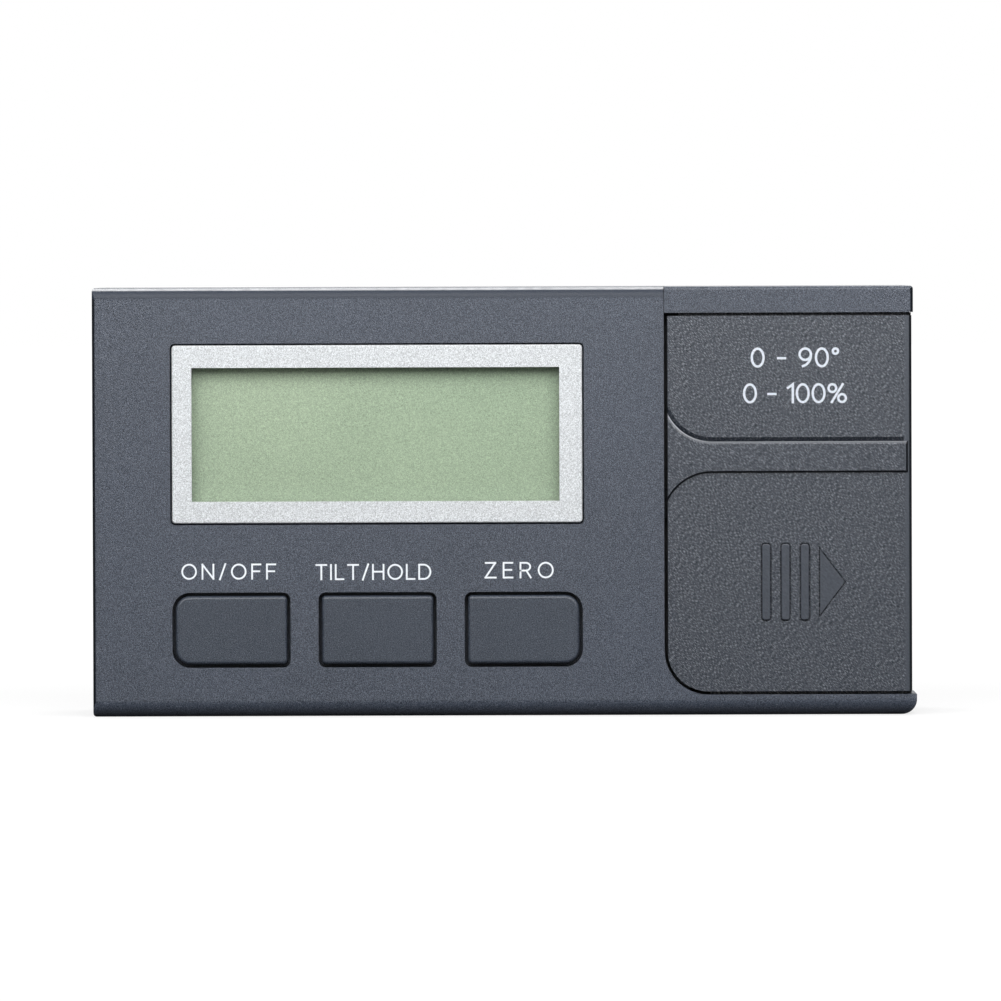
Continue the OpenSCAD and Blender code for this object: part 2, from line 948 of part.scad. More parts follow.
module cell_right() {
  color([0.2, 0.2, 0.22])
    translate([cell_x[1], cell_y, bay_z1 - spring_l - 0.1])
      mirror([0, 0, 1])
        cell_shape();
}

// a coil of wire that narrows upwards, as one swept surface
module coil(h, r0, r1, wire, turns) {
  steps = 14 * turns;
  sides = 6;
  points = [
    for (i = [0:steps])
      for (j = [0:sides - 1])
        let (
          a = 360 * turns * i / steps,
          r = r0 + (r1 - r0) * i / steps + wire * cos(360 * j / sides),
          z = wire + (h - 2 * wire) * i / steps + wire * sin(360 * j / sides)
        )
        [r * cos(a), r * sin(a), z]
  ];
  sides_faces = [
    for (i = [0:steps - 1])
      for (j = [0:sides - 1])
        let (k = (j + 1) % sides)
        [i * sides + j, i * sides + k, (i + 1) * sides + k, (i + 1) * sides + j]
  ];
  start = [for (j = [sides - 1:-1:0]) j];
  stop = [for (j = [0:sides - 1]) steps * sides + j];
  polyhedron(points, concat(sides_faces, [start, stop]), convexity = 4);
}

module contact_springs() {
  color([0.78, 0.78, 0.76]) {
    translate([cell_x[0], cell_y, bay_z0 + 0.02])
      coil(spring_l, 3.4, 1.9, 0.3, 4);
    translate([cell_x[1], cell_y, bay_z1 - 0.02])
      mirror([0, 0, 1])
        coil(spring_l, 3.4, 1.9, 0.3, 4);
  }
}

module contact_plates() {
  w = contact_w;
  color([0.8, 0.8, 0.78])
    for (x = cell_x)
      for (z = [bay_z0 - contact_t + 0.02, bay_z1 + 0.02]) {
        block(
          [x - w / 2, cell_y - w / 2, z],
          [x + w / 2, cell_y + w / 2 - 1, z + contact_t - 0.04]
        );
        block(
          [x - tail_w / 2, cell_y + w / 2 - 1 - eps, z],
          [x + tail_w / 2, tray_y1, z + contact_t - 0.04]
        );
      }
}

// a wire through a list of points
module wire_path(points, d) {
  for (i = [0:len(points) - 2]) {
    v = points[i + 1] - points[i];
    translate(points[i])
      rotate([0, acos(v[2] / norm(v)), atan2(v[1], v[0])])
        cylinder(h = norm(v), d = d);
  }
  for (i = [1:len(points) - 2])
    translate(points[i])
      sphere(d = d);
}

module battery_leads() {
  y0 = tray_y1 + lead_d / 2 + fit_gap;
  x1 = key_mid_x + lead_in;
  color([0.6, 0.1, 0.1])
    for (z = [[bay_z0, case_h * 0.3], [bay_z1, case_h * 0.7]])
      wire_path(
        [
          [cell_x[0], y0, z[0]],
          [cell_x[0], y0, z[1]],
          [x1, y0, z[1]],
          [x1, board_y + board_t + fit_gap / 2, z[1]]
        ],
        lead_d
      );
}

module base_magnets() {
  color([0.7, 0.7, 0.72])
    for (x = magnet_x)
      magnet_block(x, 0, magnet_sink, magnet_sink + magnet_t);
}

// a pan-head screw along the depth, with a cross in its head
module screw(x, z, d, head_d, head_t, seat_y, tip_y) {
  difference() {
    union() {
      rod(x, z, d, tip_y, seat_y + eps);
      rod(x, z, head_d, seat_y, seat_y + head_t);
    }
    for (a = [0, 90])
      translate([x, seat_y + head_t, z])
        rotate([0, a, 0])
          cube([head_d * 0.6, head_t, head_d * 0.14], center = true);
  }
}

module case_screws() {
  color([0.5, 0.5, 0.52])
    for (x = boss_x)
      for (z = boss_z)
        screw(x, z, screw_d, screw_head_d, screw_head_t, screw_seat_y, screw_tip_y);
}

module board_screws() {
  color([0.5, 0.5, 0.52])
    for (x = post_x)
      for (z = post_z)
        screw(x, z, pin_d, pin_head_d, pin_head_t, board_y + board_t, board_y - pin_l);
}

front_shell();
rear_shell();
battery_cover();
display_bezel();
display_window();
lcd_panel();
lcd_frame();
zebra_strips();
circuit_board();
controller_chip();
tilt_sensor();
crystal_can();
capacitors();
key_power();
key_hold();
key_zero();
plunger_power();
plunger_hold();
plunger_zero();
switch_housings();
battery_tray();
cell_left();
cell_right();
contact_springs();
contact_plates();
battery_leads();
base_magnets();
case_screws();
board_screws();
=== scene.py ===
import bpy
import math
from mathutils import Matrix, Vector


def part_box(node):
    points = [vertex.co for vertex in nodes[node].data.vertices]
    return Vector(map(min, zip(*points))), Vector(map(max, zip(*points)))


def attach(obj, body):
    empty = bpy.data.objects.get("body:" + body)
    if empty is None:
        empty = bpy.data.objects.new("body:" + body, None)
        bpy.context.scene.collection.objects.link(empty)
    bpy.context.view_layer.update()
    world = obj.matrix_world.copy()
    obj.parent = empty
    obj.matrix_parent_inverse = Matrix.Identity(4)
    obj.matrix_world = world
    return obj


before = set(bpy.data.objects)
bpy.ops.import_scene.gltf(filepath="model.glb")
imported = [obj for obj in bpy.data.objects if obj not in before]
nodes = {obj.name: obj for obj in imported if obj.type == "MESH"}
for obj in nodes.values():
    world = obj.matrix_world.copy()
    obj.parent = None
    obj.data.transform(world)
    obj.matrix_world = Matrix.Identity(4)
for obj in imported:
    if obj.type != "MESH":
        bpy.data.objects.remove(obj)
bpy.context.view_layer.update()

MM = 0.001
MICRON = 0.001 * MM


def box(name):
    lo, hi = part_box(name)
    return Vector(lo), Vector(hi)


def new_object(name, verts, faces):
    mesh = bpy.data.meshes.new(name)
    mesh.from_pydata(verts, [], faces)
    mesh.update()
    obj = bpy.data.objects.new(name, mesh)
    bpy.context.collection.objects.link(obj)
    return obj


# Places on the part, read from the loaded model
shell_lo, shell_hi = box("front_shell")
cover_lo, cover_hi = box("battery_cover")
FACE_Y = shell_lo.y
CENTRE_Z = shell_hi.z / 2

# Colours
# Painted highlight colour for the glints and for the band's upper edge
PAINTED_GLINT = (0.34, 0.36, 0.40)
# Painted highlight colour for the line along the top edge of the face
PAINTED_TOP_HIGHLIGHT = (0.50, 0.51, 0.53)
SHELL_GREY = (0.050, 0.062, 0.088)
COVER_GREY = (0.043, 0.051, 0.067)
KEY_GREY = (0.041, 0.052, 0.073)
SLEEVE_GREY = (0.045, 0.05, 0.06)
SLEEVE_BAND = (0.42, 0.40, 0.36)
CELL_METAL = (0.66, 0.65, 0.62)
LENS_TINTED = (0.95, 0.97, 0.96)
LENS_CLEAR = (0.985, 0.99, 0.985)

# Noise scales, per metre
SHELL_GRAIN = 9500
COVER_GRAIN = 9000
FLAKE_GRAIN = 9000
FILM_GRAIN = 10000
CLOUD_GRAIN = 60
# the next scale breaks up the painted highlight along the top edge
HIGHLIGHT_BREAKUP_GRAIN = 900
SLEEVE_GRAIN = 2200
TINT_GRAIN = 30
POLISH_GRAIN = 400

# How much of the plastic's tone the broad clouds give
CLOUD_SHARE = 0.07

# Noise lies mostly between these two values
NOISE_LOW = 0.3
NOISE_HIGH = 0.7

# Edges of the face: how far back the painted shade on the ends reaches, and the painted shade strip and
# painted highlight line at the top
END_DEPTH = 0.5 * MM
STRIP_HEIGHT = 1.4 * MM
STRIP_DEPTH = 2.0 * MM
LINE_HEIGHT = 0.38 * MM
LINE_DEPTH = 0.85 * MM

# The cover: its slanted grain, its smooth right end and the painted shade on the latch tab at its left
GRAIN_LENGTH = 0.36 * MM
GRAIN_WIDTH = 0.105 * MM
GRAIN_TURN = math.radians(42)
SMOOTH_END = 0.9 * MM
TAB_LENGTH = 1.60 * MM
MASK_SOFT = 0.04 * MM

# A cell: bare metal at both ends, and where the pale band begins as a share of the length
CELL_BARE = 1.4 * MM
CELL_BAND = 0.74


# Shader helpers

def new_material(name):
    mat = bpy.data.materials.new(name)
    mat.use_nodes = True
    tree = mat.node_tree
    shader = tree.nodes["Principled BSDF"]
    return mat, tree, shader


def add(tree, kind, **values):
    node = tree.nodes.new(kind)
    for key, value in values.items():
        setattr(node, key, value)
    return node


def noise(tree, coord, scale, detail=2.0, rough=0.5):
    node = add(tree, "ShaderNodeTexNoise")
    node.inputs["Scale"].default_value = scale
    node.inputs["Detail"].default_value = detail
    node.inputs["Roughness"].default_value = rough
    tree.links.new(coord, node.inputs["Vector"])
    return node.outputs[0]


def remap(tree, value, lo, hi, out_lo, out_hi):
    node = add(tree, "ShaderNodeMapRange")
    node.inputs["From Min"].default_value = lo
    node.inputs["From Max"].default_value = hi
    node.inputs["To Min"].default_value = out_lo
    node.inputs["To Max"].default_value = out_hi
    tree.links.new(value, node.inputs["Value"])
    return node.outputs["Result"]


def spread(tree, value, out_lo, out_hi):
    """Noise stretched over a range."""
    return remap(tree, value, NOISE_LOW, NOISE_HIGH, out_lo, out_hi)


def around(tree, value, middle, swing):
    """Noise stretched evenly about a middle value."""
    return spread(tree, value, middle - swing, middle + swing)


def between(tree, mask, at_zero, at_one):
    """A number that follows a mask."""
    return remap(tree, mask, 0, 1, at_zero, at_one)


def step(tree, value, edge, width):
    """0 below an edge and 1 above it, with a soft change of the given width."""
    return remap(tree, value, edge - width / 2, edge + width / 2, 0, 1)


def math_node(tree, op, a, b):
    node = add(tree, "ShaderNodeMath", operation=op)
    for socket, value in zip(node.inputs, (a, b)):
        if isinstance(value, (int, float)):
            socket.default_value = value
        else:
            tree.links.new(value, socket)
    return node.outputs[0]


def times(tree, *values):
    total = values[0]
    for value in values[1:]:
        total = math_node(tree, "MULTIPLY", total, value)
    return total


def highest(tree, *values):
    total = values[0]
    for value in values[1:]:
        total = math_node(tree, "MAXIMUM", total, value)
    return total


def flip(tree, value):
    return math_node(tree, "SUBTRACT", 1.0, value)


def below(tree, value, edge, width):
    """1 below an edge and 0 above it."""
    return flip(tree, step(tree, value, edge, width))


def ramp_colour(tree, value, dark, light):
    """A colour between two others, each given as a colour or as a socket."""
    node = add(tree, "ShaderNodeMix", data_type="RGBA")
    for socket in node.inputs:
        if socket.type == "RGBA":
            colour = dark if socket.name == "A" else light
            if isinstance(colour, tuple):
                socket.default_value = (*colour, 1)
            else:
                tree.links.new(colour, socket)
    tree.links.new(value, node.inputs["Factor"])
    return [s for s in node.outputs if s.type == "RGBA"][0]


def shade(colour, factor):
    return tuple(c * factor for c in colour)


def vary_colour(tree, value, colour, low, high):
    """A colour that noise makes darker and lighter by two factors."""
    return ramp_colour(tree, spread(tree, value, 0, 1), shade(colour, low), shade(colour, high))


def darken(tree, tone, gloss, mask, colour, tone_share, gloss_share):
    """Painted shade: tone and gloss, both lowered where the mask is 1."""
    tone = ramp_colour(tree, mask, tone, shade(colour, tone_share))
    gloss = times(tree, gloss, between(tree, mask, 1.0, gloss_share))
    return tone, gloss


def bump(tree, height, distance, strength=1.0):
    node = add(tree, "ShaderNodeBump")
    node.inputs["Strength"].default_value = strength
    node.inputs["Distance"].default_value = distance
    tree.links.new(height, node.inputs["Height"])
    return node.outputs["Normal"]


def coords(tree):
    """The place on the piece, which moves with it."""
    return add(tree, "ShaderNodeTexCoord").outputs["Object"]


def split(tree, vector):
    """The three parts of a place or a direction."""
    node = add(tree, "ShaderNodeSeparateXYZ")
    tree.links.new(vector, node.inputs[0])
    return node.outputs["X"], node.outputs["Y"], node.outputs["Z"]


def surface_way(tree):
    """The direction that the surface looks in."""
    return split(tree, add(tree, "ShaderNodeNewGeometry").outputs["True Normal"])


def wire(tree, shader, tone, roughness, normal):
    """Links what varies over the surface to the shader."""
    tree.links.new(tone, shader.inputs["Base Color"])
    tree.links.new(roughness, shader.inputs["Roughness"])
    tree.links.new(normal, shader.inputs["Normal"])


def mix_shaders(tree, share, first, second):
    """Sends a mix of two shaders to the surface."""
    mix = add(tree, "ShaderNodeMixShader")
    tree.links.new(share, mix.inputs[0])
    tree.links.new(first.outputs[0], mix.inputs[1])
    tree.links.new(second.outputs[0], mix.inputs[2])
    tree.links.new(mix.outputs[0], tree.nodes["Material Output"].inputs["Surface"])


# Moulded plastic

def painted_end_shade(tree, at, colour, tone, gloss):
    """Painted shade on the face's rounded end edges, which turn from the light."""
    _, y, _ = split(tree, at)
    turned, _, _ = surface_way(tree)
    sideways = step(tree, math_node(tree, "ABSOLUTE", turned, 0), 0.22, 0.2)
    side = times(tree, sideways, below(tree, y, FACE_Y + END_DEPTH, 0.1 * MM))
    return darken(tree, tone, gloss, side, colour, 0.2, 0.2)


def painted_top_shade_and_highlight(tree, at, colour, tone, gloss):
    """Painted shade in a smooth darker strip along the top of the face, and a painted highlight in the light
    line on its edge.
    """
    _, y, z = split(tree, at)
    near = below(tree, y, FACE_Y + STRIP_DEPTH, 0.4 * MM)
    strip = times(tree, step(tree, z, shell_hi.z - STRIP_HEIGHT, 0.3 * MM), near)
    tone, gloss = darken(tree, tone, gloss, strip, colour, 0.75, 0.55)
    edge = below(tree, y, FACE_Y + LINE_DEPTH, 0.2 * MM)
    # painted highlight line on the edge
    line = times(tree, strip, edge, step(tree, z, shell_hi.z - LINE_HEIGHT, 0.1 * MM))
    # noise that breaks up the painted highlight
    highlight_breakup = spread(tree, noise(tree, at, HIGHLIGHT_BREAKUP_GRAIN, detail=1.0), 0.75, 1.0)
    tone = ramp_colour(tree, times(tree, line, highlight_breakup), tone, PAINTED_TOP_HIGHLIGHT)
    return tone, gloss


def moulded(name, colour, grain, depth, rough, vary, shine=0.5, glint=0.0, shade_ends=False, painted_top_light=False):
    """Plastic with a fine grain and, if asked for, painted glints, painted shade on the ends and a painted
    shade strip and highlight along the top edge.
    """
    mat, tree, shader = new_material(name)
    at = coords(tree)
    fine = noise(tree, at, grain, rough=0.6)
    cloud = noise(tree, at, CLOUD_GRAIN)
    mix = math_node(tree, "ADD", times(tree, fine, 1 - CLOUD_SHARE), times(tree, cloud, CLOUD_SHARE))
    tone = vary_colour(tree, mix, colour, 1 - vary, 1 + vary)
    gloss = around(tree, fine, shine, swing=shine * vary / 2)
    # painted glints: bright dots that stand in for light catching the grain
    if glint:
        tone = ramp_colour(tree, times(tree, step(tree, fine, 0.64, 0.16), glint), tone, PAINTED_GLINT)
    # painted shade on the rounded end edges
    if shade_ends:
        tone, gloss = painted_end_shade(tree, at, colour, tone, gloss)
    # painted shade strip and painted highlight along the top edge
    if painted_top_light:
        tone, gloss = painted_top_shade_and_highlight(tree, at, colour, tone, gloss)
    roughness = around(tree, fine, rough, swing=0.06)
    wire(tree, shader, tone, roughness, bump(tree, fine, depth))
    tree.links.new(gloss, shader.inputs["Specular IOR Level"])
    return mat


# The cover's grained plastic

def slanted(tree, at):
    """Places counted in grains, aslant on the front."""
    node = add(tree, "ShaderNodeMapping", vector_type="TEXTURE")
    node.inputs["Rotation"].default_value = (0, GRAIN_TURN, 0)
    node.inputs["Scale"].default_value = (GRAIN_LENGTH, GRAIN_WIDTH, GRAIN_WIDTH)
    tree.links.new(at, node.inputs["Vector"])
    return node.outputs["Vector"]


def right_end(tree, x):
    return step(tree, x, cover_hi.x - SMOOTH_END, 0.4 * MM)


def grain_mask(tree, at):
    """1 on the sunk pads and less on the band's front; 0 on the grips, the walls and the right end."""
    x, y, _ = split(tree, at)
    on_pad = step(tree, y, FACE_Y - 0.06 * MM, MASK_SOFT)
    on_band = below(tree, y, cover_lo.y + 0.05 * MM, MASK_SOFT)
    grained = math_node(tree, "ADD", on_pad, times(tree, on_band, 0.75))
    return times(tree, grained, flip(tree, right_end(tree, x)))


def painted_band_highlight(tree, at):
    """A painted highlight on the band's eased upper edge, where it would catch the light, most of all where
    it turns right.
    """
    _, y, _ = split(tree, at)
    turned, facing, up = surface_way(tree)
    eased = times(tree, step(tree, facing, -0.965, 0.03), below(tree, facing, -0.86, 0.04))
    raised = below(tree, y, FACE_Y - 0.28 * MM, MASK_SOFT)
    behind_front = step(tree, y, cover_lo.y + 0.085 * MM, 0.03 * MM)
    upper = step(tree, up, 0.05, 0.1)
    strength = remap(tree, turned, 0.02, 0.3, 0.12, 0.75)
    return times(tree, eased, raised, behind_front, upper, strength)


def cover_shade(tree, at):
    """Painted shade on the lower walls and the rounded right end, which turn from the light, and on the
    latch tab.
    """
    x, y, _ = split(tree, at)
    turned, _, up = surface_way(tree)
    under = times(tree, below(tree, up, -0.3, 0.1), below(tree, y, FACE_Y - 0.03 * MM, MASK_SOFT))
    front_edge = below(tree, y, FACE_Y + END_DEPTH, 0.1 * MM)
    end = times(tree, step(tree, turned, 0.25, 0.2), right_end(tree, x), front_edge)
    tab = below(tree, x, cover_lo.x + TAB_LENGTH, MASK_SOFT)
    return highest(tree, under, end, tab)


def leather(name, colour, depth, rough, vary, shine, glint):
    """The cover's plastic, with a slanted grain, painted glints where the mask allows, a painted highlight
    on the band's edge and painted shade on its walls, right end and latch tab.
    """
    mat, tree, shader = new_material(name)
    at = coords(tree)
    fine = noise(tree, at, COVER_GRAIN, rough=0.6)
    grains = noise(tree, slanted(tree, at), scale=1.0, detail=1.0)
    height = math_node(tree, "ADD", times(tree, grains, 0.8), times(tree, fine, 0.2))
    mask = grain_mask(tree, at)
    swing = times(tree, math_node(tree, "SUBTRACT", height, 0.5), between(tree, mask, 0.3, 1.0))
    level = math_node(tree, "ADD", swing, between(tree, mask, 0.545, 0.5))
    tone = vary_colour(tree, level, colour, 1 - vary, 1 + vary)
    gloss = around(tree, level, shine, swing=shine * vary)
    # painted glints: bright dots where the grain's crests would catch the light
    tone = ramp_colour(tree, times(tree, step(tree, height, 0.60, 0.10), mask, glint), tone, PAINTED_GLINT)
    # painted highlight on the band's upper edge
    tone = ramp_colour(tree, painted_band_highlight(tree, at), tone, PAINTED_GLINT)
    # painted shade on the lower walls, the right end and the latch tab
    tone, gloss = darken(tree, tone, gloss, cover_shade(tree, at), colour, 0.25, 0.25)
    roughness = around(tree, fine, rough, swing=0.07)
    relief = times(tree, height, between(tree, mask, 0.12, 1.0))
    wire(tree, shader, tone, roughness, bump(tree, relief, depth))
    tree.links.new(gloss, shader.inputs["Specular IOR Level"])
    return mat


# Metal, lacquer, cells and lens

def metal(name, colour, rough, grain):
    mat, tree, shader = new_material(name)
    fine = noise(tree, coords(tree), grain, detail=3.0, rough=0.6)
    tone = ramp_colour(tree, fine, shade(colour, 0.9), shade(colour, 1.05))
    roughness = around(tree, fine, rough, swing=0.07)
    wire(tree, shader, tone, roughness, bump(tree, fine, 4 * MICRON, strength=0.5))
    shader.inputs["Metallic"].default_value = 1.0
    return mat


def silver_paint(name, colour):
    """Silver lacquer with a fine flake."""
    mat, tree, shader = new_material(name)
    flake = noise(tree, coords(tree), FLAKE_GRAIN, rough=0.6)
    tone = vary_colour(tree, flake, colour, 0.56, 1.36)
    roughness = spread(tree, flake, 0.42, 0.56)
    wire(tree, shader, tone, roughness, bump(tree, flake, 12 * MICRON, strength=0.6))
    shader.inputs["Metallic"].default_value = 0.12
    return mat


def cell_material(name, node, plus_up):
    """A cell's sleeve with a pale band at the plus end, between bare metal ends."""
    mat, tree, shader = new_material(name)
    low, high = box(node)
    at = coords(tree)
    _, _, z = split(tree, at)
    fine = noise(tree, at, SLEEVE_GRAIN)
    minus, plus = (low.z, high.z) if plus_up else (high.z, low.z)
    along = remap(tree, z, minus, plus, 0, 1)
    lower_end = below(tree, z, low.z + CELL_BARE, 0.1 * MM)
    bare = highest(tree, lower_end, step(tree, z, high.z - CELL_BARE, 0.1 * MM))
    sleeve = ramp_colour(tree, fine, shade(SLEEVE_GREY, 0.9), shade(SLEEVE_GREY, 1.1))
    sleeve = ramp_colour(tree, step(tree, along, CELL_BAND, 0.004), sleeve, SLEEVE_BAND)
    tone = ramp_colour(tree, bare, sleeve, CELL_METAL)
    roughness = spread(tree, fine, 0.28, 0.36)
    wire(tree, shader, tone, roughness, bump(tree, fine, 3 * MICRON, strength=0.4))
    tree.links.new(bare, shader.inputs["Metallic"])
    return mat


def lens_material(name):
    """A clear moulded lens that lets light through and mirrors a little."""
    mat, tree, shader = new_material(name)
    tree.nodes.remove(shader)
    at = coords(tree)
    clear = add(tree, "ShaderNodeBsdfTransparent")
    tint = ramp_colour(tree, noise(tree, at, TINT_GRAIN, detail=1.0), LENS_TINTED, LENS_CLEAR)
    tree.links.new(tint, clear.inputs["Color"])
    gloss = add(tree, "ShaderNodeBsdfGlossy")
    tree.links.new(spread(tree, noise(tree, at, POLISH_GRAIN), 0.08, 0.16), gloss.inputs["Roughness"])
    fresnel = add(tree, "ShaderNodeFresnel")
    fresnel.inputs["IOR"].default_value = 1.3
    mix_shaders(tree, fresnel.outputs[0], clear, gloss)
    return mat


# Materials: name, colour and noise scale, then how deep, rough, varied and shiny the grain is

SHELL = {"grain": SHELL_GRAIN, "depth": 44 * MICRON, "rough": 0.40, "vary": 0.85, "shine": 0.66}
# front and rear shells: painted glints and painted shade on the end edges; the front also the painted top
# shade and highlight
FRONT = moulded("front_plastic", SHELL_GREY, **SHELL, glint=0.27, shade_ends=True, painted_top_light=True)
REAR = moulded("rear_plastic", SHELL_GREY, **SHELL, glint=0.27, shade_ends=True)
COVER = leather("cover_plastic", COVER_GREY, depth=32 * MICRON, rough=0.38, vary=0.62, shine=0.66, glint=0.5)
KEY = moulded(
    "key_plastic", KEY_GREY, SHELL_GRAIN, depth=33 * MICRON, rough=0.36, vary=0.78, shine=0.66, glint=0.17
)
SILVER = silver_paint("silver_paint", (0.68, 0.705, 0.725))
LENS = lens_material("clear_lens")
LCD = moulded(
    "display_film", (0.49, 0.58, 0.435), FILM_GRAIN, depth=4 * MICRON, rough=0.45, vary=0.38, shine=0.3
)
BLACK = moulded("black_plastic", (0.03, 0.032, 0.036), 2600, depth=20 * MICRON, rough=0.55, vary=0.1)
WHITE = moulded("white_plastic", (0.72, 0.72, 0.69), 2600, depth=10 * MICRON, rough=0.5, vary=0.03)
RUBBER = moulded("zebra_rubber", (0.05, 0.05, 0.055), 2600, depth=20 * MICRON, rough=0.7, vary=0.15)
BOARD = moulded("board_lacquer", (0.025, 0.14, 0.06), 700, depth=20 * MICRON, rough=0.35, vary=0.2)
RESIN = moulded("chip_resin", (0.012, 0.012, 0.013), 1800, depth=20 * MICRON, rough=0.45, vary=0.2)
CAPACITOR = moulded("capacitor_sleeve", (0.02, 0.025, 0.07), 800, depth=10 * MICRON, rough=0.35, vary=0.2)
LEAD = moulded("wire_red", (0.30, 0.02, 0.02), 1500, depth=10 * MICRON, rough=0.45, vary=0.12)
INK = moulded("white_print", (0.88, 0.92, 0.97), 3300, depth=6 * MICRON, rough=0.5, vary=0.06, shine=0.3)
COVER_INK = moulded(
    "grey_print", (0.68, 0.725, 0.80), 6000, depth=20 * MICRON, rough=0.5, vary=0.18, shine=0.3
)
CELL_LEFT = cell_material("cell_left_sleeve", "cell_left", plus_up=True)
CELL_RIGHT = cell_material("cell_right_sleeve", "cell_right", plus_up=False)
TIN = metal("tinned_steel", (0.62, 0.62, 0.63), rough=0.35, grain=2200)
NICKEL = metal("nickel_plate", (0.66, 0.65, 0.62), rough=0.28, grain=1800)
STEEL = metal("plated_steel", (0.42, 0.42, 0.43), rough=0.35, grain=2400)

LOOKS = {
    "front_shell": FRONT, "rear_shell": REAR, "battery_cover": COVER, "display_bezel": SILVER,
    "display_window": LENS, "lcd_panel": LCD, "lcd_frame": WHITE, "zebra_strips": RUBBER,
    "circuit_board": BOARD, "controller_chip": RESIN, "tilt_sensor": RESIN, "crystal_can": TIN,
    "capacitors": CAPACITOR, "key_power": KEY, "key_hold": KEY, "key_zero": KEY,
    "plunger_power": BLACK, "plunger_hold": BLACK, "plunger_zero": BLACK, "switch_housings": TIN,
    "battery_tray": BLACK, "cell_left": CELL_LEFT, "cell_right": CELL_RIGHT, "contact_springs": NICKEL,
    "contact_plates": NICKEL, "battery_leads": LEAD, "base_magnets": NICKEL, "case_screws": STEEL,
    "board_screws": STEEL,
}
for name, obj in nodes.items():
    obj.data.materials.clear()
    obj.data.materials.append(LOOKS[name])


# Printed words, drawn as strokes in a box one capital high

def arc(cx, cy, rx, ry, start, end, n=14):
    angles = [math.radians(start + (end - start) * i / n) for i in range(n + 1)]
    return [(cx + rx * math.cos(a), cy + ry * math.sin(a)) for a in angles]


def ring(cx, cy, rx, ry, n):
    return arc(cx, cy, rx, ry, 0, 360, n)


DEGREE = "°"

# Each glyph has its width and its strokes
GLYPHS = {
    "O": (0.86, [arc(0.43, 0.5, 0.43, 0.5, 90, 450, 32)]),
    "0": (0.58, [arc(0.29, 0.5, 0.29, 0.5, 90, 450, 28)]),
    "1": (0.24, [[(0.0, 0.8), (0.24, 1.0), (0.24, 0.0)]]),
    "9": (0.56, [ring(0.28, 0.68, 0.28, 0.32, 24), arc(0.06, 0.66, 0.5, 0.66, 2, -78, 12)]),
    "N": (0.68, [[(0, 0), (0, 1)], [(0.0, 1), (0.68, 0)], [(0.68, 0), (0.68, 1)]]),
    "/": (0.34, [[(0, -0.04), (0.34, 1.04)]]),
    "F": (0.52, [[(0, 0), (0, 1), (0.52, 1)], [(0, 0.52), (0.45, 0.52)]]),
    "T": (0.62, [[(0.31, 0), (0.31, 1)], [(0, 1), (0.62, 1)]]),
    "I": (0.0, [[(0, 0), (0, 1)]]),
    "L": (0.48, [[(0, 1), (0, 0), (0.48, 0)]]),
    "H": (0.66, [[(0, 0), (0, 1)], [(0.66, 0), (0.66, 1)], [(0, 0.52), (0.66, 0.52)]]),
    "D": (0.70, [[(0, 0), (0, 1)] + arc(0.28, 0.5, 0.42, 0.5, 90, -90, 20) + [(0, 0)]]),
    "Z": (0.62, [[(0.02, 1), (0.6, 1)], [(0.6, 1), (0.0, 0)], [(0, 0), (0.62, 0)]]),
    "E": (0.54, [[(0.53, 1), (0, 1), (0, 0), (0.54, 0)], [(0, 0.52), (0.47, 0.52)]]),
    "R": (0.62, [
        [(0, 0), (0, 1)] + arc(0.33, 0.735, 0.26, 0.265, 90, -90, 14) + [(0, 0.47)],
        [(0.36, 0.47), (0.62, 0)],
    ]),
    "%": (0.86, [
        ring(0.19, 0.78, 0.19, 0.22, 20),
        ring(0.67, 0.22, 0.19, 0.22, 20),
        [(0.16, 0), (0.70, 1)],
    ]),
    "-": (0.34, [[(0, 0.46), (0.34, 0.46)]]),
    DEGREE: (0.26, [ring(0.13, 0.85, 0.13, 0.15, 18)]),
    " ": (0.22, []),
}


def stroke_edges(before, point, after, half):
    """The two edge points of a stroke beside one of its points, square at an open end."""
    ways = []
    for a, b in ((before, point), (point, after)):
        if a is not None and b is not None:
            ways.append(Vector((b[0] - a[0], b[1] - a[1])).normalized())
    along = sum(ways, Vector((0, 0))).normalized()
    side = Vector((-along.y, along.x))
    # a bend is wider across than a straight
    grow = 1.0
    if len(ways) == 2:
        lean = side.dot(Vector((-ways[0].y, ways[0].x)))
        grow = min(1 / max(lean, 0.25), 3.0)
    centre = Vector(point)
    if before is None:
        centre = centre - along * half
    if after is None:
        centre = centre + along * half
    return centre + side * half * grow, centre - side * half * grow


def ribbon(points, half, verts, faces):
    """Adds a flat stroke of constant width along the points."""
    closed = math.dist(points[0], points[-1]) < 1e-9
    pts = points[:-1] if closed else list(points)
    n = len(pts)
    base = len(verts)
    for i, point in enumerate(pts):
        before = pts[i - 1] if closed or i else None
        after = pts[(i + 1) % n] if closed or i < n - 1 else None
        verts.extend(stroke_edges(before, point, after, half))
    for i in range(n if closed else n - 1):
        a = base + 2 * i
        b = base + 2 * ((i + 1) % n)
        faces.append((a, a + 1, b + 1, b))


# The ink lies a hair in front of the face, and strokes that cross lie a hair apart
INK_Y = FACE_Y - 0.012 * MM
STROKE_STEP = 0.002 * MM


def print_words(name, text, body, mat, stroke, centre_x, z_low, height, width):
    """Words laid flat on a face that looks along -Y, spaced to the given width."""
    natural = sum(GLYPHS[g][0] for g in text) * height
    gap = (width - stroke - natural) / (len(text) - 1)
    x = centre_x - width / 2 + stroke / 2
    inner = height - stroke
    verts, faces, depths = [], [], []
    for g in text:
        wide, lines = GLYPHS[g]
        for level, line in enumerate(lines):
            points = [(x + u * height, z_low + stroke / 2 + v * inner) for u, v in line]
            ribbon(points, stroke / 2, verts, faces)
            depths += [INK_Y - level * STROKE_STEP] * (len(verts) - len(depths))
        x += wide * height + gap
    obj = new_object(name, [(v.x, y, v.y) for v, y in zip(verts, depths)], faces)
    obj.data.materials.append(mat)
    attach(obj, body)


